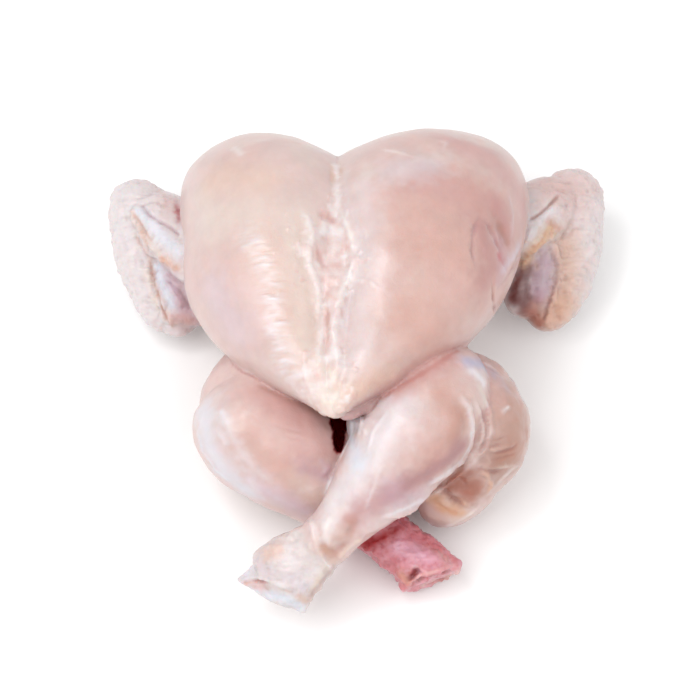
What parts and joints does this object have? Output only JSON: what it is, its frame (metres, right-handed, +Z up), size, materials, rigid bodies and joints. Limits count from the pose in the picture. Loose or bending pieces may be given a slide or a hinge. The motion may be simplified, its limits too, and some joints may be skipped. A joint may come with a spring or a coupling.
{
  "type": "whole raw chicken",
  "caption": "Whole raw skinned chicken lying on its back, with crossed drumsticks, wings akimbo and an open belly hollow.",
  "frame": {"origin": "middle of the bounding box's bottom face, on the surface that the bird lies on", "axes": "+Z up through the breast, +Y towards the neck end, +X to the right of someone who looks from tail to neck"},
  "size_m": [0.2244, 0.2128, 0.1074],
  "materials": {
    "flesh": "moist raw meat, satin to glossy"
  },
  "bodies": {
    "root": {"chicken": "flesh"}
  },
  "joints": []
}
